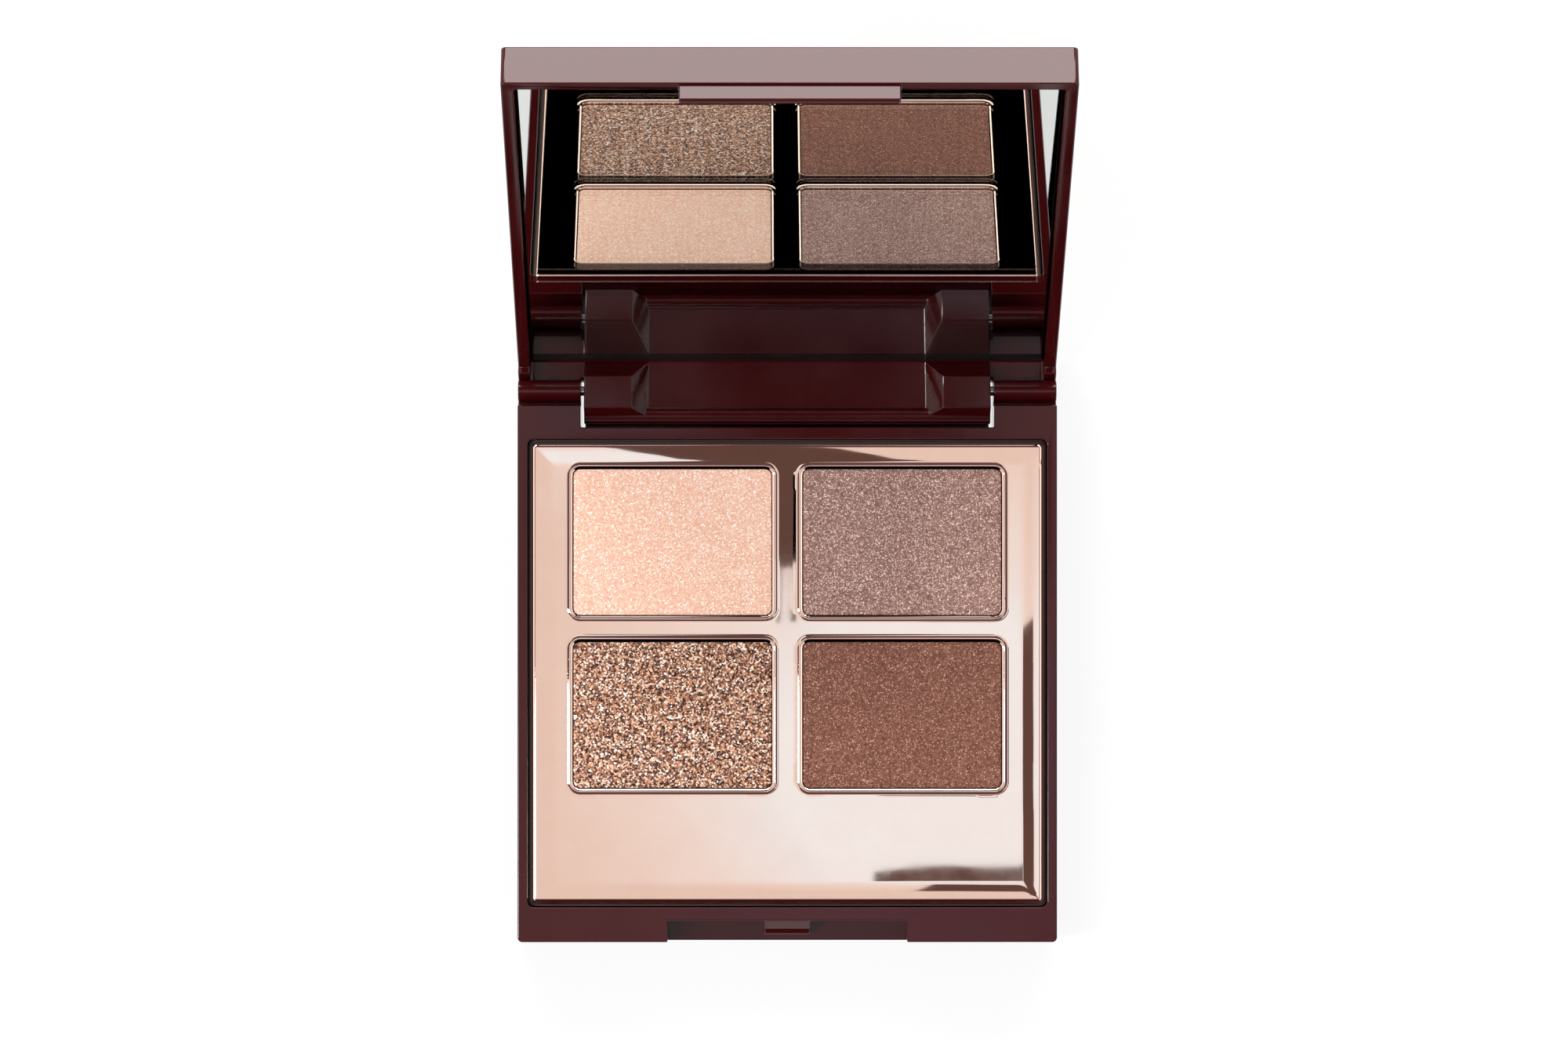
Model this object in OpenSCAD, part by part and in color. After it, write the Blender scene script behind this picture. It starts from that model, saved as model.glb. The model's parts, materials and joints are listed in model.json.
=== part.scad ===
// Four-pan eyeshadow palette: a hinged pressed-powder compact with a mirror in its lid.
// Millimetres, +Z up, +Y towards the hinge, -Y towards the person using it.
// The origin is the middle of the underside. The lid is drawn open, against its stop.

/* [Case] */
// Width of the case, left to right
case_w = 68; // [64:1:80]
// Depth of the case, front to back
case_d = 72; // [70:1:84]
// Height of the base, from the table to its rim
base_h = 9; // [8.5:0.5:12]
// Height of the closed lid above the base rim
lid_h = 5.2; // [5:0.1:7]
// Thickness of the lid walls and of the tongue's web
wall = 1.5; // [1.2:0.1:1.8]
// Thickness of the base floor
floor_t = 1.2; // [1:0.1:1.6]
// Radius of the upright corners
corner_r = 0.6; // [0.3:0.1:1.5]

/* [Hinge] */
// Angle between the closed lid and the open lid on its stop
open_deg = 118; // [100:1:120]
// Height of the base rim above the hinge axis
axis_drop = 2.5; // [2.3:0.1:3]
// Distance of the hinge axis in front of the rear face
axis_inset = 2.5; // [2.3:0.1:3]
// Diameter of each hinge pin
pin_d = 1.2; // [1:0.1:1.3]
// Width of the lid tongue that drops into the base
tongue_w = 51.3; // [46:0.1:54]
// Width of each solid knuckle at the ends of the tongue
knuckle_w = 6; // [5:0.5:8]

/* [Face plate and pans] */
// Width of the face plate
plate_w = 64.8; // [60:0.1:65]
// Depth of the face plate
plate_d = 58.3; // [54:0.1:59]
// Thickness of the face plate
plate_t = 1.2; // [0.8:0.1:1.5]
// Width of each window in the face plate
window_w = 25.25; // [22:0.05:26]
// Depth of each window in the face plate
window_d = 18.65; // [16:0.05:19]
// Width of the bar between the two columns of windows
column_gap = 3.7; // [3:0.1:5]
// Width of the bar between the two rows of windows
row_gap = 3.15; // [2.5:0.05:4]
// Margin of the plate behind the rear windows
rear_margin = 3.3; // [2.5:0.1:5]
// Thickness of each pressed powder cake
powder_t = 2.1; // [1.5:0.1:2.2]

/* [Latch] */
// Width of the finger recess in the front of the base
recess_w = 30.2; // [28:0.1:36]
// Width of the lid's latch tab
tab_w = 26.1; // [20:0.1:27]
// Length of the latch tab below the lid rim
tab_drop = 2; // [1.5:0.1:2.2]

/* [Hidden] */

$fn = 48;
eps = 0.01;
reach = 20;

left = -1;
right = 1;
front = -1;
rear = 1;

// Levels above the table
plate_drop = 0.2;
pan_drop = 0.45;
plate_top = base_h - plate_drop;
plate_bottom = plate_top - plate_t;
pan_top = plate_top - pan_drop;
pan_h = 2.45;
tin_t = 0.25;
glue_t = 0.2;
pan_bottom = pan_top - pan_h;
seat_z = pan_bottom - glue_t;
seat_t = 1;
axis_z = base_h - axis_drop;

// Places front to back
front_y = -case_d / 2;
rear_y = case_d / 2;
axis_y = rear_y - axis_inset;

// Hinge fits and clearances
rim_gap = 0.1;
lid_bottom = base_h + rim_gap;
pin_play = 0.05;
tongue_gap = 0.4;
cutout_front = 4.6;
ledge_d = 1.6;
lug_r = 1.4;
step_front = 1.8;
skirt_v = lug_r + 0.2;
skirt_play = 0.15;
stop_gap = 0.05;
slot_inner_x = tongue_w / 2 + tongue_gap;
wall_inner_u = axis_inset - wall;
sweep_r = norm([axis_inset, skirt_v]) + 0.12;
knuckle_top_gap = 0.1;
knuckle_shoulder = 1.3;
pin_end_gap = 0.3;
knuckle_front = 1.6;
knuckle_bottom = 3.2;
knuckle_slant = 2.1;
web_bottom = 3.8;
tongue_round = 1;
pin_grip = knuckle_w - 1;
pin_inset = 0.1;

// Face plate, tray and pans
plate_gap = 0.35;
plate_y = axis_y - cutout_front - wall - plate_gap - plate_d / 2;
well_w = plate_w + 2 * plate_gap;
well_d = plate_d + 2 * plate_gap;
plate_r = 0.8;
window_r = 1;
tray_gap = 0.1;
tray_wall = 1.2;
pan_gap = 0.125;
pan_w = window_w - 2 * pan_gap;
pan_d = window_d - 2 * pan_gap;
cake_gap = 0.03;
glue_w = 18;
glue_d = 12;
glue_r = 2;
column_x = (window_w + column_gap) / 2;
rear_row_y = plate_y + plate_d / 2 - rear_margin - window_d / 2;
row_pitch = window_d + row_gap;
peg_d = 1.6;
peg_play = 0.05;
peg_h = 1.2;
peg_inset_x = 2.6;
peg_inset_y = 1.6;
peg_end_gap = 0.3;
snap_w = 12;
snap_h = 0.8;
snap_reach = 0.2;
snap_z = 3;

// Latch
recess_d = 2.7;
recess_floor = 4.6;
tab_t = 1;
tab_setback = 0.4;
catch_w = 5.8;
catch_step = 1;
catch_reach = 1.85;
catch_top = base_h - 0.3;
catch_slope = 0.7;
catch_play = 0.2;
nose_h = 0.8;

// Mirror
mirror_gap = 0.2;
mirror_t = 1.2;
silver_z = base_h + 3.6;
tape_t = 0.15;
tape_inset = 6;
cavity_top = silver_z + tape_t;
cavity_r = 0.4;
cavity_d = case_d - 2 * wall;

// Label
label_w = 34;
label_d = 12;
label_t = 0.1;
label_pocket = 0.14;
label_y = -20;
label_gap = 0.1;
label_r = 0.9;

// Slab with exact round upright corners, standing on z = 0
module slab(w, d, h, r) {
    linear_extrude(h) {
        square([w - 2 * r, d], center = true);
        square([w, d - 2 * r], center = true);
        for (sx = [-1, 1], sy = [-1, 1])
            translate([sx * (w / 2 - r), sy * (d / 2 - r)])
                circle(r = r);
    }
}

// Turns an outline of (distance behind the axis, height above it) into a bar along X
module along_x(x0, x1) {
    translate([x0, axis_y, axis_z])
        rotate([90, 0, 90])
            linear_extrude(x1 - x0)
                children();
}

// The same bar on the left and on the right
module both_sides(x0, x1) {
    along_x(x0, x1) children();
    along_x(-x1, -x0) children();
}

// Puts a piece drawn on the closed lid where it is with the lid on its stop
module on_open_lid() {
    translate([0, axis_y, axis_z])
        rotate([-open_deg, 0, 0])
            translate([0, -axis_y, -axis_z])
                children();
}

module at_pan(side, row) {
    y = row == rear ? rear_row_y : rear_row_y - row_pitch;
    translate([side * column_x, y, 0])
        children();
}

module at_pegs() {
    for (side = [left, right], row = [front, rear])
        translate([side * (plate_w / 2 - peg_inset_x), plate_y + row * (plate_d / 2 - peg_inset_y), 0])
            children();
}

// Outline of a lug: a round barrel about the pin on a straight neck below it
module lug_outline() {
    circle(r = lug_r);
    translate([-step_front, -lug_r])
        square([step_front, lug_r]);
}

// What is cut away around the lugs: a step for the lid's skirt, the path that the skirt
// swings through, and the sloping seat that the lid's rear wall comes to rest on
module lug_relief_outline() {
    difference() {
        union() {
            translate([-step_front, 0])
                square([reach, reach]);
            intersection() {
                circle(r = sweep_r);
                translate([0, -reach])
                    square([reach, 2 * reach]);
            }
            rotate(-open_deg)
                translate([-reach, skirt_v - stop_gap])
                    square([reach + axis_inset + stop_gap, reach]);
        }
        lug_outline();
    }
}

// Catch on the back wall of the recess: a sloping top with a nose below it
module catch() {
    shoulder_z = catch_top - catch_step * catch_slope;
    nose_z = base_h - tab_drop - 3 * catch_play;
    translate([-catch_w / 2, front_y + recess_d, 0])
        rotate([90, 0, 90])
            linear_extrude(catch_w)
                polygon([
                    [eps, catch_top], [-catch_step, shoulder_z], [-catch_step, nose_z + catch_play],
                    [-catch_reach, nose_z - catch_play], [-catch_reach, nose_z - nose_h],
                    [eps, nose_z - 2 * nose_h]
                ]);
}

// Ledge at the foot of the slot's front wall, which closes the slot below the tongue's front
// edge and leaves it open at the tongue's two ends
module slot_ledge() {
    translate([-tongue_w / 2, axis_y - cutout_front - eps, 0])
        cube([tongue_w, ledge_d + eps, floor_t]);
}

// Bar that the tray snaps into the case with, or its groove when it is grown all round
module snap_ridge(grow) {
    ridge_w = well_w - 2 * tray_gap + 2 * snap_reach;
    translate([-ridge_w / 2 - grow, plate_y - snap_w / 2 - grow, snap_z - grow])
        cube([ridge_w + 2 * grow, snap_w + 2 * grow, snap_h + 2 * grow]);
}

module base_shell() {
    color("#4a1f24") {
        difference() {
            slab(case_w, case_d, base_h, corner_r);
            translate([0, plate_y, floor_t])
                slab(well_w, well_d, base_h, plate_r);
            snap_ridge(tray_gap);
            along_x(-slot_inner_x, slot_inner_x)
                translate([-cutout_front, -reach])
                    square([reach, 2 * reach]);
            both_sides(slot_inner_x - eps, case_w / 2 + eps)
                lug_relief_outline();
            both_sides(slot_inner_x - eps, case_w / 2 + eps)
                circle(d = pin_d);
            translate([-recess_w / 2, front_y - eps, recess_floor])
                cube([recess_w, recess_d + eps, base_h]);
            translate([0, label_y, -eps])
                slab(label_w + 2 * label_gap, label_d + 2 * label_gap, label_pocket + eps, label_r + label_gap);
        }
        catch();
        slot_ledge();
    }
}

// Moulded insert: a deck under the face plate, a well for each pan, a skirt to the floor
module pan_tray() {
    outer_w = well_w - 2 * tray_gap;
    outer_d = well_d - 2 * tray_gap;
    deck_bottom = seat_z - seat_t;
    color("#2b1417")
        difference() {
            union() {
                translate([0, plate_y, floor_t])
                    slab(outer_w, outer_d, plate_bottom - floor_t, plate_r);
                snap_ridge(0);
            }
            translate([0, plate_y, floor_t - eps])
                slab(outer_w - 2 * tray_wall, outer_d - 2 * tray_wall, deck_bottom - floor_t + eps, plate_r);
            for (side = [left, right], row = [front, rear])
                at_pan(side, row)
                    translate([0, 0, seat_z])
                        slab(window_w, window_d, base_h, window_r);
            at_pegs()
                translate([0, 0, plate_bottom - peg_h - peg_end_gap])
                    cylinder(d = peg_d + 2 * peg_play, h = base_h);
        }
}

module face_plate() {
    color("#e3b7a0") {
        difference() {
            translate([0, plate_y, plate_bottom])
                slab(plate_w, plate_d, plate_t, plate_r);
            for (side = [left, right], row = [front, rear])
                at_pan(side, row)
                    translate([0, 0, plate_bottom - eps])
                        slab(window_w, window_d, base_h, window_r);
        }
        at_pegs()
            translate([0, 0, plate_bottom - peg_h])
                cylinder(d = peg_d, h = peg_h + eps);
    }
}

module pan(side, row) {
    color("#b9b4ad")
        at_pan(side, row)
            difference() {
                translate([0, 0, pan_bottom])
                    slab(pan_w, pan_d, pan_h, window_r - pan_gap);
                translate([0, 0, pan_bottom + tin_t])
                    slab(pan_w - 2 * tin_t, pan_d - 2 * tin_t, pan_h, window_r - pan_gap - tin_t);
            }
}

module powder(side, row) {
    inset = tin_t + cake_gap;
    at_pan(side, row)
        translate([0, 0, pan_bottom + tin_t])
            slab(pan_w - 2 * inset, pan_d - 2 * inset, powder_t, window_r - pan_gap - inset);
}

module glue_pad(side, row) {
    color("#e9e4d4")
        at_pan(side, row)
            translate([0, 0, seat_z])
                slab(glue_w, glue_d, glue_t, glue_r);
}

module hinge_pin(side) {
    inner_x = slot_inner_x - tongue_gap - pin_grip;
    outer_x = case_w / 2 - pin_inset;
    color("#c9c9c9")
        if (side == right) along_x(inner_x, outer_x) circle(d = pin_d);
        else along_x(-outer_x, -inner_x) circle(d = pin_d);
}

module bottom_label() {
    color("#efe9e4")
        translate([0, label_y, label_pocket - label_t])
            slab(label_w, label_d, label_t, label_r);
}

// Side outline of a knuckle: a slope down from the mirror, then a block around the pin
module knuckle_outline() {
    mirror_v = silver_z - mirror_t - knuckle_top_gap - axis_z;
    polygon([
        [axis_inset, mirror_v], [wall_inner_u, mirror_v], [-knuckle_front, knuckle_shoulder],
        [-knuckle_front, -knuckle_bottom], [axis_inset - tongue_round, -knuckle_bottom],
        [axis_inset, -knuckle_bottom + tongue_round]
    ]);
    translate([axis_inset - tongue_round, -knuckle_bottom + tongue_round])
        circle(r = tongue_round);
}

module web_outline() {
    root_v = axis_drop + wall;
    polygon([
        [axis_inset, root_v], [wall_inner_u, root_v], [wall_inner_u, -web_bottom],
        [axis_inset - tongue_round, -web_bottom], [axis_inset, -web_bottom + tongue_round]
    ]);
    translate([axis_inset - tongue_round, -web_bottom + tongue_round])
        circle(r = tongue_round);
}

// Both knuckles, with inner sides that slant back to the web
module knuckles() {
    outer_x = tongue_w / 2;
    inner_x = outer_x - knuckle_w;
    difference() {
        intersection() {
            both_sides(inner_x - knuckle_slant, outer_x)
                knuckle_outline();
            for (side = [left, right])
                translate([0, axis_y, 0])
                    linear_extrude(2 * base_h)
                        polygon([
                            [side * outer_x, reach], [side * outer_x, -knuckle_front - eps],
                            [side * inner_x, -knuckle_front - eps],
                            [side * (inner_x - knuckle_slant), wall_inner_u],
                            [side * (inner_x - knuckle_slant), reach]
                        ]);
        }
        both_sides(outer_x - pin_grip - pin_end_gap, outer_x + eps)
            circle(d = pin_d + 2 * pin_play);
    }
}

// The hollow inside the lid walls, between two levels
module lid_cavity(bottom_z, top_z) {
    translate([0, 0, bottom_z])
        slab(case_w - 2 * wall, cavity_d, top_z - bottom_z, cavity_r);
}

// Lower edge of the lid over each lug: it fills the step in the base
module lid_skirt() {
    bottom_z = axis_z + skirt_v;
    skirt_front = axis_y - step_front + skirt_play;
    difference() {
        translate([0, 0, bottom_z])
            slab(case_w, case_d, lid_bottom + eps - bottom_z, corner_r);
        lid_cavity(bottom_z - eps, lid_bottom + 2 * eps);
        translate([-case_w, skirt_front - case_d, 0])
            cube([2 * case_w, case_d, 2 * base_h]);
        translate([-slot_inner_x, 0, 0])
            cube([2 * slot_inner_x, case_d, 2 * base_h]);
    }
}

module lid_shell() {
    color("#4a1f24")
        on_open_lid() {
            difference() {
                translate([0, 0, lid_bottom])
                    slab(case_w, case_d, lid_h - rim_gap, corner_r);
                lid_cavity(lid_bottom - eps, cavity_top);
            }
            lid_skirt();
            along_x(-tongue_w / 2, tongue_w / 2)
                web_outline();
            knuckles();
            translate([-tab_w / 2, front_y + tab_setback, base_h - tab_drop])
                cube([tab_w, tab_t, tab_drop + rim_gap + eps]);
        }
}

// A sheet that lies in the lid, inset all round from the lid walls
module lid_sheet(z, t, inset) {
    translate([0, 0, z])
        slab(case_w - 2 * wall - 2 * inset, cavity_d - 2 * inset, t, cavity_r);
}

module mirror() {
    color("#d7dde0")
        on_open_lid()
            lid_sheet(silver_z - mirror_t, mirror_t, mirror_gap);
}

module mirror_tape() {
    color("#f4f1ea")
        on_open_lid()
            lid_sheet(silver_z, tape_t, tape_inset);
}

base_shell();
pan_tray();
face_plate();
pan(left, rear);  // pan_rear_left
pan(right, rear);  // pan_rear_right
pan(left, front);  // pan_front_left
pan(right, front);  // pan_front_right
color("#eebfa2") powder(left, rear);  // powder_rear_left
color("#93736d") powder(right, rear);  // powder_rear_right
color("#a5805f") powder(left, front);  // powder_front_left
color("#6f4638") powder(right, front);  // powder_front_right
glue_pad(left, rear);  // glue_pad_rear_left
glue_pad(right, rear);  // glue_pad_rear_right
glue_pad(left, front);  // glue_pad_front_left
glue_pad(right, front);  // glue_pad_front_right
hinge_pin(left);  // hinge_pin_left
hinge_pin(right);  // hinge_pin_right
bottom_label();
lid_shell();
mirror();
mirror_tape();
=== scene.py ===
"""An open eyeshadow palette: oxblood case, rose-gold face plate, four pressed powders, mirror in the lid."""
import json
import math

import bmesh
import bpy
from mathutils import Matrix, Vector, noise


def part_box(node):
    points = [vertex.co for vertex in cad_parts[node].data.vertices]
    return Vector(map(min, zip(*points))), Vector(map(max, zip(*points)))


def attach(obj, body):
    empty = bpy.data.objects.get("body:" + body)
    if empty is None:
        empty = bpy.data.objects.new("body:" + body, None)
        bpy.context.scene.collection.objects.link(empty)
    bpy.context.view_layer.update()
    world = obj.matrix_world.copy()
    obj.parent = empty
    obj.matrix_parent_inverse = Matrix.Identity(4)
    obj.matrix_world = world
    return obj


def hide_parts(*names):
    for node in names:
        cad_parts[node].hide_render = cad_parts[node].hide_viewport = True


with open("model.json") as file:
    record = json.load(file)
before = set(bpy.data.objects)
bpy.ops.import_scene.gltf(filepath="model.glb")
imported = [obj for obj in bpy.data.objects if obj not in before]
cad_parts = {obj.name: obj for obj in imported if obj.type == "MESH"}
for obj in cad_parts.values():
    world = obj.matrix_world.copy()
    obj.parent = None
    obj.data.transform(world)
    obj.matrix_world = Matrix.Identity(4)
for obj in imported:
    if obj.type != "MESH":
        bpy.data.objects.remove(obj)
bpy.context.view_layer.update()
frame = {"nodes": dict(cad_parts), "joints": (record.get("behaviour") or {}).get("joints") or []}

MM = 0.001
HINGE = frame["joints"][0]
HINGE_POS = Vector(HINGE["pos_m"])
OPEN_ANGLE = math.radians(HINGE["range_deg"][1])
SWING_OPEN = (Matrix.Translation(HINGE_POS) @ Matrix.Rotation(-OPEN_ANGLE, 4, "X")
              @ Matrix.Translation(-HINGE_POS))
PLACES = ("rear_left", "rear_right", "front_left", "front_right")


# ---------------------------------------------------------------- colour and node helpers

def linear(hex_colour):
    """A material colour, written as sRGB hex, as the linear RGBA that a shader socket takes."""
    channels = [int(hex_colour[i:i + 2], 16) / 255 for i in (1, 3, 5)]
    return [c / 12.92 if c <= 0.04045 else ((c + 0.055) / 1.055) ** 2.4 for c in channels] + [1.0]


def wire(tree, node, inputs):
    """Sets each input of a node to a value, or links it where a socket is given."""
    for key, value in inputs.items():
        if isinstance(value, bpy.types.NodeSocket):
            tree.links.new(value, node.inputs[key])
        else:
            node.inputs[key].default_value = value


def add_node(tree, kind, inputs=None, stops=None, **settings):
    """Adds a shader node: its properties, its inputs and, on a colour ramp, its (place, hex colour) stops."""
    node = tree.nodes.new("ShaderNode" + kind)
    for name, value in settings.items():
        setattr(node, name, value)
    wire(tree, node, inputs or {})
    for i, (place, colour) in enumerate(stops or []):
        elements = node.color_ramp.elements
        element = elements[i] if i < len(elements) else elements.new(place)
        element.position = place
        element.color = linear(colour)
    return node


def new_material(name, **surface):
    """A material with a Principled surface; keyword words are its sockets, with _ for a space."""
    material = bpy.data.materials.new(name)
    material.use_nodes = True
    tree = material.node_tree
    shader = tree.nodes["Principled BSDF"]
    wire(tree, shader, {key.replace("_", " "): value for key, value in surface.items()})
    coords = add_node(tree, "TexCoord").outputs["Object"]
    return material, tree, shader, coords


def per_metre(size_mm):
    """Texture scale on Object coordinates for a pattern whose grains are size_mm apart."""
    return 1 / (size_mm * MM)


# ---------------------------------------------------------------- materials

def oxblood_abs():
    """Injection-moulded ABS from a polished tool: deep red-brown, a sharp gloss with faint orange peel."""
    material, tree, shader, coords = new_material("oxblood_abs_moulded", IOR=1.53, Specular_IOR_Level=0.27)
    peel = add_node(tree, "TexNoise", {
        "Vector": coords, "Scale": per_metre(3.0), "Detail": 2.0, "Roughness": 0.5})
    handling = add_node(tree, "TexNoise", {
        "Vector": coords, "Scale": per_metre(14.0), "Detail": 5.0, "Roughness": 0.62})
    tone = add_node(tree, "ValToRGB", {"Fac": handling.outputs["Fac"]}, [(0.3, "#36070a"), (0.7, "#3e0a0c")])
    gloss = add_node(tree, "MapRange", {
        "Value": handling.outputs["Fac"], "From Min": 0.3, "From Max": 0.75, "To Min": 0.06, "To Max": 0.13})
    relief = add_node(tree, "Bump", {"Height": peel.outputs["Fac"], "Distance": 0.004 * MM})
    wire(tree, shader, {"Base Color": tone.outputs["Color"], "Roughness": gloss.outputs["Result"],
                        "Normal": relief.outputs["Normal"]})
    return material


def tray_abs():
    """Moulded ABS from a spark-eroded tool: nearly black, satin, only seen in the gaps."""
    material, tree, shader, coords = new_material("tray_abs_moulded", IOR=1.53, Roughness=0.45)
    grain = add_node(tree, "TexNoise", {"Vector": coords, "Scale": per_metre(0.3), "Detail": 3.0})
    tone = add_node(tree, "ValToRGB", {"Fac": grain.outputs["Fac"]}, [(0.3, "#160607"), (0.7, "#1f0a0b")])
    relief = add_node(tree, "Bump", {"Height": grain.outputs["Fac"], "Distance": 0.01 * MM})
    wire(tree, shader, {"Base Color": tone.outputs["Color"], "Normal": relief.outputs["Normal"]})
    return material


def rose_gold_plating():
    """ABS vacuum-metallised and lacquered: a pale pink-gold mirror that waves very slightly."""
    material, tree, shader, coords = new_material("rose_gold_vacuum_metallised", Metallic=1.0)
    wave = add_node(tree, "TexNoise", {
        "Vector": coords, "Scale": per_metre(18.0), "Detail": 1.0, "Roughness": 0.4})
    haze = add_node(tree, "TexNoise", {
        "Vector": coords, "Scale": per_metre(6.0), "Detail": 6.0, "Roughness": 0.7})
    tone = add_node(tree, "ValToRGB", {"Fac": haze.outputs["Fac"]}, [(0.3, "#ebc7b6"), (0.7, "#eeccbc")])
    gloss = add_node(tree, "MapRange", {
        "Value": haze.outputs["Fac"], "From Min": 0.3, "From Max": 0.7, "To Min": 0.014, "To Max": 0.03})
    relief = add_node(tree, "Bump", {"Height": wave.outputs["Fac"], "Distance": 0.03 * MM})
    wire(tree, shader, {"Base Color": tone.outputs["Color"], "Roughness": gloss.outputs["Result"],
                        "Normal": relief.outputs["Normal"]})
    return material


def tinplate():
    """Drawn tinplate dulled by powder dust: brown-grey metal with fine draw lines up the wall."""
    material, tree, shader, coords = new_material("tinplate_drawn", Metallic=0.7)
    # Real draw lines are finer than a tenth of a millimetre; these are drawn coarser, so that they show
    stretched = add_node(tree, "Mapping", {"Vector": coords, "Scale": (1.0, 1.0, 0.08)})
    lines = add_node(tree, "TexNoise", {
        "Vector": stretched.outputs["Vector"], "Scale": per_metre(0.12), "Detail": 3.0})
    tone = add_node(tree, "ValToRGB", {"Fac": lines.outputs["Fac"]}, [(0.3, "#6f5a50"), (0.7, "#96806f")])
    gloss = add_node(tree, "MapRange", {"Value": lines.outputs["Fac"], "To Min": 0.3, "To Max": 0.5})
    wire(tree, shader, {"Base Color": tone.outputs["Color"], "Roughness": gloss.outputs["Result"]})
    return material


def pressed_powder(name, tones, pearl_and_glint_hex, pearl_share, pearl_mm, depth_mm, shine):
    """Pressed powder: matt pigment in grains, with paler, glossier mica flakes here and there, whose pale
    colour is partly their own and partly painted glint.
    """
    material, tree, shader, coords = new_material(name, IOR=1.45, Metallic=shine)
    grain = add_node(tree, "TexNoise", {
        "Vector": coords, "Scale": per_metre(0.26), "Detail": 3.0, "Roughness": 0.75})
    drift = add_node(tree, "TexNoise", {"Vector": coords, "Scale": per_metre(9.0), "Detail": 2.0})
    shift = add_node(tree, "MapRange", {"Value": drift.outputs["Fac"], "To Min": -0.04, "To Max": 0.04})
    mixed = add_node(tree, "Math", {0: grain.outputs["Fac"], 1: shift.outputs["Result"]}, operation="ADD")
    pigment = add_node(tree, "ValToRGB", {"Fac": mixed.outputs["Value"]}, tones)
    # Real pearl flakes are some 0.03 mm across; these are drawn coarser, so that they show
    flakes = add_node(tree, "TexVoronoi", {"Vector": coords, "Scale": per_metre(pearl_mm)})
    pick = add_node(tree, "SeparateColor", {"Color": flakes.outputs["Color"]})
    is_flake = add_node(tree, "Math", {0: pick.outputs["Red"], 1: 1 - pearl_share}, operation="GREATER_THAN")
    # Flakes take the pale pearl colour: partly the mica's own colour, partly painted glint.
    tone = add_node(tree, "Mix", {
        "Factor": is_flake.outputs["Value"], "A": pigment.outputs["Color"], "B": linear(pearl_and_glint_hex)},
        data_type="RGBA")
    gloss = add_node(tree, "MapRange", {"Value": is_flake.outputs["Value"], "To Min": 0.75, "To Max": 0.4})
    relief = add_node(tree, "Bump", {"Height": grain.outputs["Fac"], "Distance": depth_mm * MM})
    wire(tree, shader, {"Base Color": tone.outputs["Result"], "Roughness": gloss.outputs["Result"],
                        "Normal": relief.outputs["Normal"]})
    return material


def champagne_powder():
    """Pale peach powder, full of fine pearl: light all over, with small white glints painted as pale flakes.
    """
    return pressed_powder(
        "champagne_pearl_powder", [(0.3, "#dfa283"), (0.5, "#f1c1a9"), (0.7, "#fcdfcd")],
        "#fff0e4", pearl_share=0.12, pearl_mm=0.16, depth_mm=0.05, shine=0.15)


def mauve_powder():
    """Grey-mauve powder with silver-pink pearl: a fine, even sparkle on a darker ground, the sparkle painted
    as pale flakes.
    """
    return pressed_powder(
        "mauve_pearl_powder", [(0.3, "#64453e"), (0.5, "#946f65"), (0.7, "#c9a296")],
        "#e6cbc1", pearl_share=0.13, pearl_mm=0.115, depth_mm=0.05, shine=0.3)


def brown_powder():
    """Chocolate satin powder: close-grained, with a few copper pearls."""
    return pressed_powder(
        "brown_satin_powder", [(0.3, "#553227"), (0.5, "#7d5143"), (0.7, "#ab7a67")],
        "#cfa08a", pearl_share=0.06, pearl_mm=0.11, depth_mm=0.045, shine=0.55)


def bronze_glitter_powder():
    """Coarse bronze glitter: flakes a fifth of a millimetre across, each its own tone and its own tilt; the
    near-white flakes are painted glints and the darkest are painted shade.
    """
    material, tree, shader, coords = new_material("bronze_glitter_powder", IOR=1.5)
    flakes = add_node(tree, "TexVoronoi", {"Vector": coords, "Scale": per_metre(0.2)})
    pick = add_node(tree, "SeparateColor", {"Color": flakes.outputs["Color"]})
    # The near-white stop paints glinting flakes and the darkest stop paints flakes in shade; the stops
    # between are the glitter's own bronze tones.
    tones = add_node(tree, "ValToRGB", {"Fac": pick.outputs["Red"]}, [
        (0.0, "#2c140d"), (0.18, "#673826"), (0.36, "#a76f50"), (0.54, "#cd9877"), (0.7, "#ebc1a4"),
        (0.83, "#755a50"), (0.91, "#fff0e4")])
    tones.color_ramp.interpolation = "CONSTANT"
    metal = add_node(tree, "MapRange", {"Value": pick.outputs["Green"], "To Min": 0.1, "To Max": 0.6})
    gloss = add_node(tree, "MapRange", {"Value": pick.outputs["Blue"], "To Min": 0.3, "To Max": 0.6})
    relief = add_node(tree, "Bump", {"Height": pick.outputs["Green"], "Distance": 0.05 * MM})
    wire(tree, shader, {"Base Color": tones.outputs["Color"], "Metallic": metal.outputs["Result"],
                        "Roughness": gloss.outputs["Result"], "Normal": relief.outputs["Normal"]})
    return material


def mirror_glass():
    """Float glass, cut and seamed: clear, with the green-grey body that shows only at its edge."""
    material, tree, shader, coords = new_material(
        "mirror_float_glass", IOR=1.52, Roughness=0.0, Transmission_Weight=1.0)
    body = add_node(tree, "TexNoise", {"Vector": coords, "Scale": per_metre(30.0)})
    tone = add_node(tree, "ValToRGB", {"Fac": body.outputs["Fac"]}, [(0.3, "#f4f8f6"), (0.7, "#f6f9f7")])
    wire(tree, shader, {"Base Color": tone.outputs["Color"]})
    return material


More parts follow.
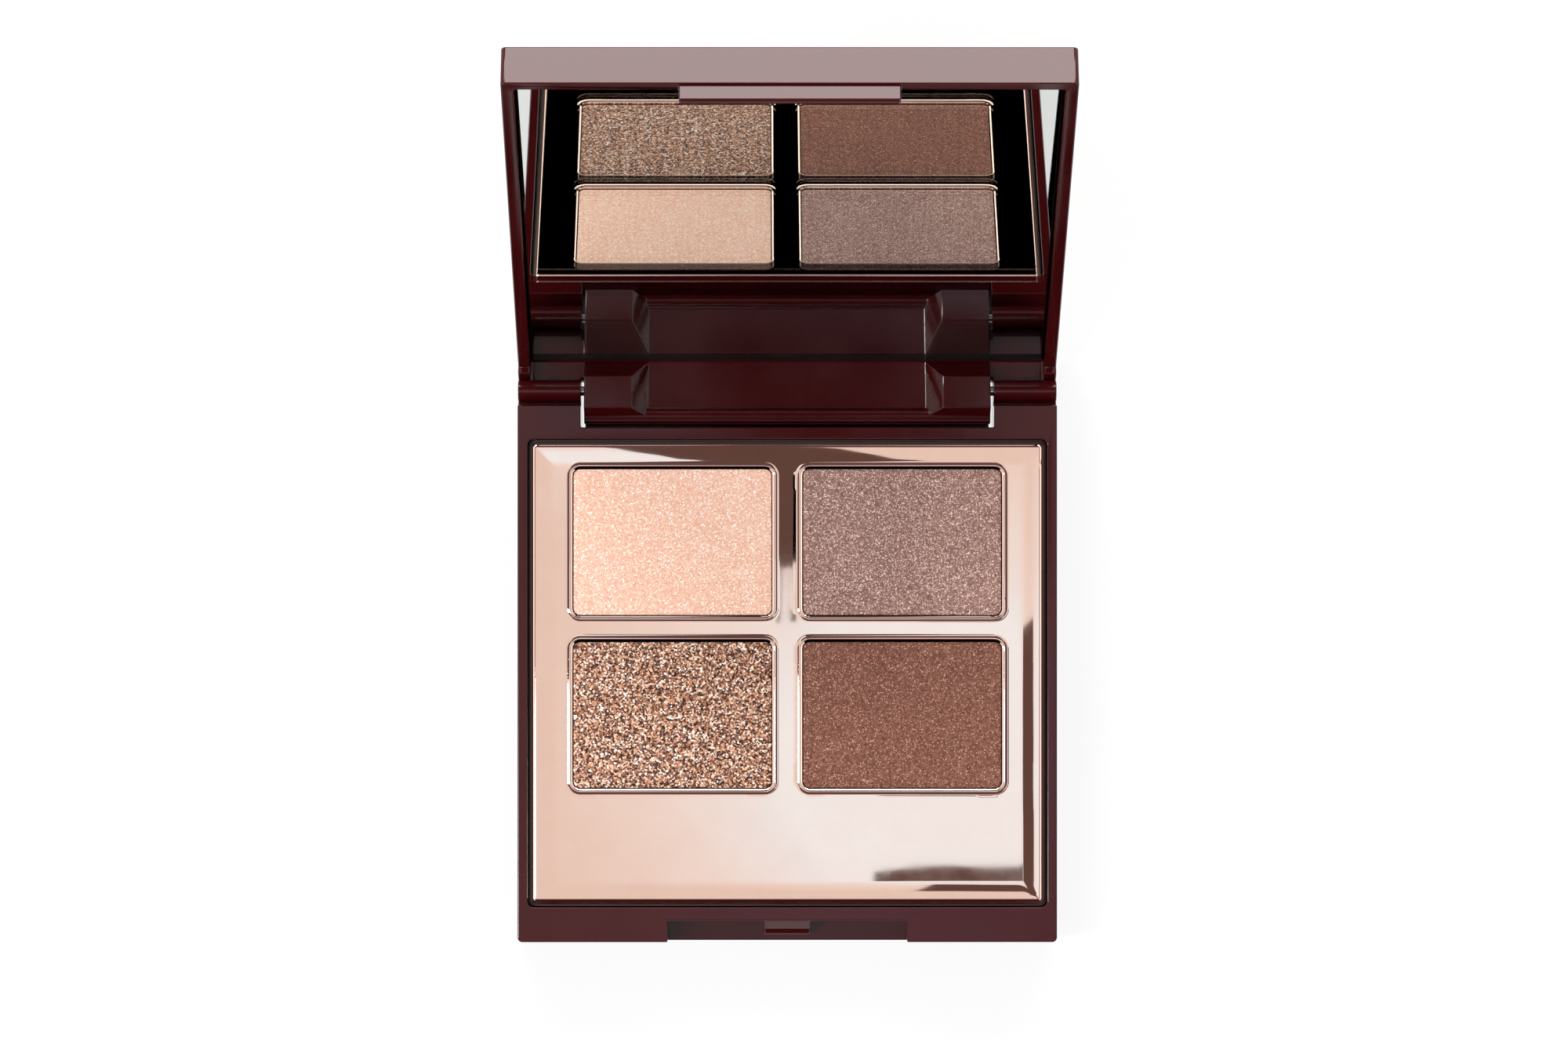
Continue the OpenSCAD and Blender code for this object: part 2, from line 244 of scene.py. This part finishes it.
def glass_edge():
    """The glass's ground edge, set down in the lid where no light reaches it: its green-grey is darkened to
    nearly black as painted shade.
    """
    material, tree, shader, coords = new_material("mirror_edge_painted_shade", IOR=1.52, Specular_IOR_Level=0.1)
    grind = add_node(tree, "TexNoise", {"Vector": coords, "Scale": per_metre(0.2), "Detail": 3.0})
    tone = add_node(tree, "ValToRGB", {"Fac": grind.outputs["Fac"]}, [(0.3, "#060706"), (0.7, "#0e100f")])
    gloss = add_node(tree, "MapRange", {"Value": grind.outputs["Fac"], "To Min": 0.35, "To Max": 0.55})
    wire(tree, shader, {"Base Color": tone.outputs["Color"], "Roughness": gloss.outputs["Result"]})
    return material


def mirror_silver():
    """Silvering on the back of the glass: a clean, slightly warm mirror."""
    material, tree, shader, coords = new_material("mirror_silvering", Metallic=1.0, Roughness=0.0)
    tarnish = add_node(tree, "TexNoise", {"Vector": coords, "Scale": per_metre(20.0), "Detail": 3.0})
    tone = add_node(tree, "ValToRGB", {"Fac": tarnish.outputs["Fac"]}, [(0.3, "#e6e6e4"), (0.7, "#ececea")])
    wire(tree, shader, {"Base Color": tone.outputs["Color"]})
    return material


def pin_steel():
    """Drawn steel wire, cropped and tumbled: grey, with a fine mottle from the tumbling."""
    material, tree, shader, coords = new_material("hinge_pin_drawn_steel", Metallic=1.0, Roughness=0.25)
    mottle = add_node(tree, "TexNoise", {"Vector": coords, "Scale": per_metre(0.25), "Detail": 2.0})
    tone = add_node(tree, "ValToRGB", {"Fac": mottle.outputs["Fac"]}, [(0.3, "#a5a3a0"), (0.7, "#c6c4c1")])
    wire(tree, shader, {"Base Color": tone.outputs["Color"]})
    return material


def label_film():
    """Matt polypropylene label film, blank: off-white with a faint paper-like mottle."""
    material, tree, shader, coords = new_material("label_film_matt", IOR=1.49, Roughness=0.5)
    mottle = add_node(tree, "TexNoise", {"Vector": coords, "Scale": per_metre(0.8), "Detail": 4.0})
    tone = add_node(tree, "ValToRGB", {"Fac": mottle.outputs["Fac"]}, [(0.3, "#e6dfd9"), (0.7, "#efe9e4")])
    wire(tree, shader, {"Base Color": tone.outputs["Color"]})
    return material


def hot_melt():
    """Hot-melt adhesive: milky and slightly waxy."""
    material, tree, shader, coords = new_material("hot_melt_adhesive", IOR=1.48, Roughness=0.35)
    cloud = add_node(tree, "TexNoise", {"Vector": coords, "Scale": per_metre(2.0)})
    tone = add_node(tree, "ValToRGB", {"Fac": cloud.outputs["Fac"]}, [(0.3, "#ddd6c2"), (0.7, "#ece6d6")])
    wire(tree, shader, {"Base Color": tone.outputs["Color"]})
    return material


def foam_tape():
    """Double-sided foam tape: open-celled and chalky."""
    material, tree, shader, coords = new_material("foam_tape", IOR=1.45, Roughness=0.85)
    cells = add_node(tree, "TexVoronoi", {"Vector": coords, "Scale": per_metre(0.3)})
    tone = add_node(tree, "ValToRGB", {"Fac": cells.outputs["Distance"]}, [
        (0.1, "#f4f1ea"), (0.7, "#dcd7cc")])
    wire(tree, shader, {"Base Color": tone.outputs["Color"]})
    return material


# ---------------------------------------------------------------- modelling helpers

def cad_copy(node):
    """A CAD node's mesh with its loose triangles merged back into whole faces."""
    bm = bmesh.new()
    bm.from_mesh(frame["nodes"][node].data)
    bmesh.ops.remove_doubles(bm, verts=bm.verts, dist=0.0005 * MM)
    bmesh.ops.dissolve_limit(bm, angle_limit=math.radians(0.5), verts=bm.verts, edges=bm.edges)
    return bm


def creases(bm, least_degrees=35):
    """The edges where two faces meet at a real corner."""
    least = math.radians(least_degrees)
    return [e for e in bm.edges if len(e.link_faces) == 2 and e.calc_face_angle(0) > least]


def round_edges(bm, edges, radius_mm, segments):
    bmesh.ops.bevel(bm, geom=edges, offset=radius_mm * MM, offset_type="OFFSET", affect="EDGES",
                    segments=segments, profile=0.5, material=-1, clamp_overlap=False)


def finish_piece(bm, name, body, material, replaced, smooth_degrees=40):
    """Turns the bmesh into a shaded object that rides on its body and stands for its CAD nodes."""
    mesh = bpy.data.meshes.new(name)
    bmesh.ops.recalc_face_normals(bm, faces=bm.faces)
    bm.to_mesh(mesh)
    bm.free()
    mesh.shade_smooth()
    mesh.set_sharp_from_angle(angle=math.radians(smooth_degrees))
    piece = bpy.data.objects.new(name, mesh)
    bpy.context.scene.collection.objects.link(piece)
    mesh.materials.append(material)
    weighted = piece.modifiers.new("even_shading", "WEIGHTED_NORMAL")
    weighted.keep_sharp = True
    weighted.weight = 80
    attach(piece, body)
    if replaced:
        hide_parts(*replaced)
    return piece


def rounded_rect_distance(x, y, half_w, half_d, radius):
    """Signed distance from a point to a rounded rectangle's edge, negative inside it."""
    dx = abs(x) - half_w + radius
    dy = abs(y) - half_d + radius
    return math.hypot(max(dx, 0.0), max(dy, 0.0)) + min(max(dx, dy), 0.0) - radius


def smooth_step(value):
    t = min(max(value, 0.0), 1.0)
    return t * t * (3 - 2 * t)


# ---------------------------------------------------------------- pieces

CORNER_BREAK_MM = 0.16


def make_base_shell(material):
    """The moulded base: the CAD shape with every corner broken as the tool leaves it."""
    bm = cad_copy("base_shell")
    round_edges(bm, creases(bm), CORNER_BREAK_MM, 3)
    finish_piece(bm, "base_shell_moulding", "base", material, ["base_shell"])


def make_lid_shell(material):
    """The moulded lid, rounded while shut, with a softer tip on the snap tab."""
    bm = cad_copy("lid_shell")
    bmesh.ops.transform(bm, matrix=SWING_OPEN.inverted(), verts=bm.verts)
    tip_z = min(v.co.z for v in bm.verts if v.co.y < 0)
    tab_tip = [e for e in creases(bm) if all(v.co.y < 0 and v.co.z < tip_z + 0.01 * MM for v in e.verts)]
    round_edges(bm, tab_tip, 0.3, 4)
    round_edges(bm, creases(bm), CORNER_BREAK_MM, 3)
    bmesh.ops.transform(bm, matrix=SWING_OPEN, verts=bm.verts)
    finish_piece(bm, "lid_shell_moulding", "lid", material, ["lid_shell"])


def make_tray(material):
    bm = cad_copy("pan_tray")
    finish_piece(bm, "pan_tray_moulding", "base", material, ["pan_tray"])


def make_face_plate(material):
    """The face plate: edges rolled down to a chamfer, and a raised bead and a lip round each window."""
    low, high = (Vector(corner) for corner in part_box("face_plate"))
    centre = (low + high) / 2
    half = (high - low) / 2
    gap = Vector((0.125, 0.125, 0)) * MM
    windows = []
    for place in PLACES:
        pan_low, pan_high = (Vector(corner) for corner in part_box("pan_" + place))
        windows.append(((pan_low + pan_high) / 2, (pan_high - pan_low) / 2 + gap))
    bm = cad_copy("face_plate")
    # The face is cut into strips, fine beside each edge and coarse further in, that the profile then bends
    fine, coarse = 0.12 * MM, 0.45 * MM
    fine_reach, reach = 1.1 * MM, 3.4 * MM
    first_cut, last_gap = 0.1 * MM, 0.05 * MM
    for axis, normal in ((0, Vector((1, 0, 0))), (1, Vector((0, 1, 0)))):
        edges = [low[axis], high[axis]] + [c[axis] + s * h[axis] for c, h in windows for s in (-1, 1)]
        place = low[axis] + first_cut
        while place < high[axis] - last_gap:
            nearest = min(abs(place - e) for e in edges)
            if nearest < reach:
                geometry = list(bm.verts) + list(bm.edges) + list(bm.faces)
                bmesh.ops.bisect_plane(bm, geom=geometry, dist=1e-7, plane_co=normal * place, plane_no=normal)
            place += fine if nearest < fine_reach else coarse
    plate_corner, window_corner = 0.8 * MM, 1.0 * MM
    roll, roll_drop = 3.2 * MM, 0.13 * MM
    chamfer, chamfer_slope = 0.5 * MM, 0.6
    bead, bead_rise = 0.8 * MM, 0.1 * MM
    lip, lip_slope = 0.28 * MM, 0.6
    for vert in bm.verts:
        if vert.co.z < high.z - 1e-6:
            continue
        x, y, _ = vert.co
        from_edge = -rounded_rect_distance(x - centre.x, y - centre.y, half.x, half.y, plate_corner)
        from_window = min(
            rounded_rect_distance(x - c.x, y - c.y, h.x, h.y, window_corner) for c, h in windows)
        drop = roll_drop * max(0.0, 1 - from_edge / roll) ** 2 + chamfer_slope * max(0.0, chamfer - from_edge)
        drop += bead_rise * smooth_step(from_window / bead) + lip_slope * max(0.0, lip - from_window)
        vert.co.z -= drop
    finish_piece(bm, "face_plate_metallised", "base", material, ["face_plate"])


def make_pan(place, material):
    node = "pan_" + place
    bm = cad_copy(node)
    round_edges(bm, creases(bm, 60), 0.08, 2)
    finish_piece(bm, node + "_drawn", "base", material, [node])


def make_powder(place, material, grain_mm, roughness_mm, seed):
    """A pressed cake: softly domed, lapping thinly over the pan's rim, with its grain in the surface."""
    low, high = (Vector(corner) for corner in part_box("powder_" + place))
    rim_low, rim_high = (Vector(corner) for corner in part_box("pan_" + place))
    rim_shows = Vector((0.03, 0.03, 0)) * MM
    centre, half = (low + high) / 2, (rim_high - rim_low) / 2 - rim_shows
    inside_pan = (high - low) / 2
    radius, ease = 0.85 * MM, 0.25 * MM
    above_rim, dome_rise, edge_drop = 0.07 * MM, 0.1 * MM, 0.05 * MM
    step = 0.16 * MM
    seed_apart = 10 * MM
    bm = bmesh.new()
    bmesh.ops.create_grid(bm, x_segments=int(2 * half.x / step), y_segments=int(2 * half.y / step), size=1.0)
    for vert in bm.verts:
        x, y = vert.co.x * half.x, vert.co.y * half.y
        dx, dy = abs(x) - half.x + radius, abs(y) - half.y + radius
        if dx > 0 and dy > 0:
            scale = max(dx, dy) / math.hypot(dx, dy)
            x = math.copysign(half.x - radius + dx * scale, x)
            y = math.copysign(half.y - radius + dy * scale, y)
        inside = -rounded_rect_distance(x, y, half.x, half.y, radius)
        dome = dome_rise * (1 - (x / half.x) ** 2) * (1 - (y / half.y) ** 2)
        edge = edge_drop * (1 - smooth_step(inside / ease))
        spot = Vector((x, y, seed * seed_apart)) / (grain_mm * MM)
        relief = roughness_mm * MM * noise.noise(spot) * smooth_step(inside / ease)
        vert.co = Vector((centre.x + x, centre.y + y, rim_high.z + above_rim + dome - edge + relief))
    rim = [e for e in bm.edges if e.is_boundary]
    skirt = bmesh.ops.extrude_edge_only(bm, edges=rim)["geom"]
    lower = [g for g in skirt if isinstance(g, bmesh.types.BMVert)]
    for vert in lower:
        vert.co.x = centre.x + (vert.co.x - centre.x) * inside_pan.x / half.x
        vert.co.y = centre.y + (vert.co.y - centre.y) * inside_pan.y / half.y
        vert.co.z = low.z
    bmesh.ops.contextual_create(bm, geom=[e for e in bm.edges if e.is_boundary])
    finish_piece(bm, "powder_cake_" + place, "base", material, ["powder_" + place], 60)


def make_mirror(glass, edge, silver):
    """A glass sheet with a seamed edge and silvering behind it, built shut and swung open with the lid."""
    shut = SWING_OPEN.inverted()
    corners = [shut @ v.co for v in frame["nodes"]["mirror"].data.vertices]
    low = Vector([min(c[i] for c in corners) for i in range(3)])
    high = Vector([max(c[i] for c in corners) for i in range(3)])
    # The silver's face lies just inside the glass, so that no air shows between them
    silver_face, glass_back = high.z - 0.06 * MM, high.z - 0.03 * MM
    corner_mm, seam_mm, silver_inset = 0.4, 0.08, 0.04 * MM
    for name, bottom, top, inset, seam, material in (
            ("mirror_glass", low.z, glass_back, 0.0, seam_mm, glass),
            ("mirror_silvering", silver_face, high.z, silver_inset, 0.0, silver)):
        bm = bmesh.new()
        bmesh.ops.create_cube(bm, size=1.0)
        size = Vector((high.x - low.x - 2 * inset, high.y - low.y - 2 * inset, top - bottom))
        middle = Vector(((low.x + high.x) / 2, (low.y + high.y) / 2, (top + bottom) / 2))
        bmesh.ops.scale(bm, vec=size, verts=bm.verts)
        upright = [e for e in bm.edges if abs(e.verts[0].co.z - e.verts[1].co.z) > 1e-6]
        round_edges(bm, upright, corner_mm, 5)
        if seam:
            round_edges(bm, creases(bm, 60), seam, 2)
            bm.normal_update()
            # The side faces take the edge material, whose near-black colour is painted shade.
            for face in bm.faces:
                face.material_index = 0 if abs(face.normal.z) > 0.99 else 1
        bmesh.ops.translate(bm, vec=middle, verts=bm.verts)
        bmesh.ops.transform(bm, matrix=SWING_OPEN, verts=bm.verts)
        sheet = finish_piece(bm, name, "lid", material, ["mirror"] if seam else [])
        if seam:
            sheet.data.materials.append(edge)


def make_pins(material):
    for side in ("left", "right"):
        node = "hinge_pin_" + side
        bm = cad_copy(node)
        round_edges(bm, creases(bm, 60), 0.12, 2)
        finish_piece(bm, node + "_wire", "base", material, [node])


def paint_hidden_nodes():
    """Pieces whose plain CAD shape is the real one: adhesive, tape and label."""
    glue, tape, film = hot_melt(), foam_tape(), label_film()
    for node, material in [("glue_pad_" + place, glue) for place in PLACES] + [
            ("mirror_tape", tape), ("bottom_label", film)]:
        frame["nodes"][node].material_slots[0].material = material


# ---------------------------------------------------------------- studio

def emission_material(name, colour=(1, 1, 1, 1), strength=0.0):
    """An unlit stage material."""
    material = bpy.data.materials.new(name)
    material.use_nodes = True
    tree = material.node_tree
    tree.nodes.remove(tree.nodes["Principled BSDF"])
    emission = add_node(tree, "Emission", {"Color": colour, "Strength": strength})
    wire(tree, tree.nodes["Material Output"], {"Surface": emission.outputs["Emission"]})
    return tree, emission, material


def stage_card(name, centre_mm, size_mm, material, tilt=0, turn=0, reflected_only=True):
    """A flat card in the studio, tilted about X and turned about Z by degrees."""
    bm = bmesh.new()
    bmesh.ops.create_grid(bm, x_segments=1, y_segments=1, size=0.5)
    bmesh.ops.scale(bm, vec=(size_mm[0] * MM, size_mm[1] * MM, 1), verts=bm.verts)
    turned = Matrix.Rotation(math.radians(turn), 3, "Z") @ Matrix.Rotation(math.radians(tilt), 3, "X")
    bmesh.ops.rotate(bm, matrix=turned, verts=bm.verts)
    bmesh.ops.translate(bm, vec=Vector(centre_mm) * MM, verts=bm.verts)
    mesh = bpy.data.meshes.new(name)
    bm.to_mesh(mesh)
    bm.free()
    card = bpy.data.objects.new(name, mesh)
    bpy.context.scene.collection.objects.link(card)
    mesh.materials.append(material)
    if reflected_only:
        card.visible_camera = card.visible_diffuse = card.visible_shadow = False


def area_light(name, place, target, width, height, power, colour=(1, 1, 1)):
    light = bpy.data.lights.new(name, "AREA")
    light.shape = "RECTANGLE"
    light.size, light.size_y = width, height
    light.energy = power
    light.color = colour
    lamp = bpy.data.objects.new(name, light)
    lamp.location = place
    lamp.rotation_euler = (Vector(target) - Vector(place)).to_track_quat("-Z", "Y").to_euler()
    bpy.context.scene.collection.objects.link(lamp)


def seen_directly(tree):
    """1 for a camera, glossy or transmission ray, 0 for the rays that light the object."""
    path = add_node(tree, "LightPath")
    some = add_node(tree, "Math", {
        0: path.outputs["Is Camera Ray"], 1: path.outputs["Is Glossy Ray"]}, operation="MAXIMUM")
    either = add_node(tree, "Math", {
        0: some.outputs["Value"], 1: path.outputs["Is Transmission Ray"]}, operation="MAXIMUM")
    return either.outputs["Value"]


def make_world():
    """White where it is seen or reflected, softer where it lights the object."""
    world = bpy.data.worlds.new("studio")
    bpy.context.scene.world = world
    world.use_nodes = True
    tree = world.node_tree
    level = add_node(tree, "MapRange", {"Value": seen_directly(tree), "To Min": 0.59, "To Max": 1.0})
    wire(tree, tree.nodes["Background"], {"Color": (1, 1, 1, 1), "Strength": level.outputs["Result"]})


def make_floor():
    """Pale floor: it looks white, and darkens a little where the object shades it."""
    material = bpy.data.materials.new("studio_floor")
    material.use_nodes = True
    tree = material.node_tree
    shader = tree.nodes["Principled BSDF"]
    wire(tree, shader, {"Base Color": linear("#f2f2f2"), "Roughness": 0.9})
    glow = add_node(tree, "Emission", {"Color": (1, 1, 1, 1), "Strength": 1.0})
    share = add_node(tree, "MapRange", {"Value": seen_directly(tree), "To Min": 0.0, "To Max": 0.86})
    mix = add_node(tree, "MixShader", {
        0: share.outputs["Result"], 1: shader.outputs["BSDF"], 2: glow.outputs["Emission"]})
    wire(tree, tree.nodes["Material Output"], {"Surface": mix.outputs["Shader"]})
    stage_card("floor", (0, 0, -0.02), (6000, 6000), material, reflected_only=False)


def make_overhead_softbox(camera_x, camera_y):
    """The diffuser over the table, even but for three brighter patches, and what stands in front of it."""
    tree, emission, diffuser = emission_material("softbox_diffuser")
    coords = add_node(tree, "TexCoord").outputs["Object"]
    level = None
    for x, y, radius in ((45, -60, 120), (-40, 75, 90), (200, -60, 110)):
        x, y, radius = (camera_x + x) * MM, (camera_y + y) * MM, radius * MM
        centred = add_node(tree, "Mapping", {
            "Vector": coords, "Location": (-x / radius, -y / radius, 0),
            "Scale": (1 / radius, 1 / radius, 0)})
        patch = add_node(tree, "TexGradient", {"Vector": centred.outputs["Vector"]},
                         gradient_type="QUADRATIC_SPHERE")
        level = patch.outputs["Fac"] if level is None else add_node(tree, "Math", {
            0: level, 1: patch.outputs["Fac"]}, operation="ADD").outputs["Value"]
    tint = add_node(tree, "ValToRGB", {"Fac": level}, [(0.0, "#fffdfb"), (0.4, "#d8f0ff")])
    strength = add_node(tree, "MapRange", {"Value": level, "From Max": 0.45, "To Min": 0.94, "To Max": 1.55})
    wire(tree, emission, {"Color": tint.outputs["Color"], "Strength": strength.outputs["Result"]})
    dark = emission_material("dark_room", linear("#6b5359"), 1.0)[2]
    warm_grey = emission_material("stand_in_shade", linear("#675450"), 1.0)[2]
    height = 880
    stage_card("dark_room", (0, camera_y, height + 6), (800, 1500), dark)
    stage_card("overhead_softbox", (camera_x, camera_y - 27, height), (500, 375), diffuser)
    stage_card("light_stand", (camera_x + 125, camera_y - 108, height - 1), (60, 165), warm_grey, turn=3)
    stage_card("stand_clamp", (camera_x + 62, camera_y - 93, height - 1), (60, 6), warm_grey, turn=3)
    stage_card("stand_foot", (camera_x + 78, camera_y - 148, height - 1), (70, 40), warm_grey, turn=-6)
    stage_card("camera_boom", (camera_x + 7, camera_y + 77.2, height - 2), (55, 174), warm_grey, turn=17.5)
    for x in (6.0, 10.2):
        stage_card("boom_cable", (camera_x + x, camera_y - 12, height - 1), (1.3, 26), warm_grey)
    camera_body = emission_material("camera_body", strength=0.0)[2]
    stage_card("camera_body", (camera_x + 9, camera_y + 1.5, height - 1), (104, 27), camera_body)


def make_studio():
    make_world()
    make_floor()
    make_overhead_softbox(-4.3, 16.9)
    black = emission_material("black_card", strength=0.0)[2]
    stage_card("front_flag", (0, -300, 280), (500, 260), black, tilt=90)
    glow = emission_material("edge_strip", strength=2.2)[2]
    stage_card("edge_strip_front", (0, -300, 105), (600, 70), glow, tilt=90)
    stage_card("edge_strip_left", (-500, 0, 240), (400, 210), glow, tilt=90, turn=90)
    stage_card("edge_strip_right", (500, 0, 240), (400, 210), glow, tilt=90, turn=90)
    # Black cards on the floor beside the base, seen only in reflections: painted shadow where the floor next
    # to the base lies in shade.
    stage_card("floor_shadow_card_left", (-37.9, -20, 0.3), (5, 90), black, turn=-3.6)
    stage_card("floor_shadow_card_right", (38.5, -20, 0.3), (5, 90), black, turn=5.1)
    area_light("rear_softbox", (0, 0.62, 0.40), (0, 0.05, 0.03), 0.8, 0.22, 6.3, (1.0, 0.94, 0.92))
    area_light("key_softbox", (-0.45, -0.1, 0.75), (0, 0.01, 0.01), 0.07, 0.42, 4.0)


def make_camera():
    """The camera hangs almost straight above the palette, with a long lens."""
    rim_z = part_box("base_shell")[1][2]
    camera_data = bpy.data.cameras.new("camera")
    camera_data.sensor_width = 36.0
    camera_data.lens = 152.6
    camera_data.clip_start, camera_data.clip_end = 0.01, 20
    camera = bpy.data.objects.new("camera", camera_data)
    yaw = math.radians(-0.264)
    distance = 837.6 * MM
    aim = Vector((-0.42 * MM, HINGE_POS.y - 16.6 * MM, rim_z))
    camera.location = aim + distance * Vector((math.sin(yaw), 0, math.cos(yaw)))
    camera.rotation_euler = (0, yaw, 0)
    bpy.context.scene.collection.objects.link(camera)
    bpy.context.scene.camera = camera


def main():
    oxblood = oxblood_abs()
    make_base_shell(oxblood)
    make_lid_shell(oxblood)
    make_tray(tray_abs())
    make_face_plate(rose_gold_plating())
    tin = tinplate()
    for place in PLACES:
        make_pan(place, tin)
    make_powder("rear_left", champagne_powder(), 0.35, 0.03, 1)
    make_powder("rear_right", mauve_powder(), 0.35, 0.03, 2)
    make_powder("front_left", bronze_glitter_powder(), 0.3, 0.06, 3)
    make_powder("front_right", brown_powder(), 0.35, 0.025, 4)
    make_mirror(mirror_glass(), glass_edge(), mirror_silver())
    make_pins(pin_steel())
    paint_hidden_nodes()
    make_studio()
    make_camera()
    bpy.context.scene.view_settings.view_transform = "Standard"


main()
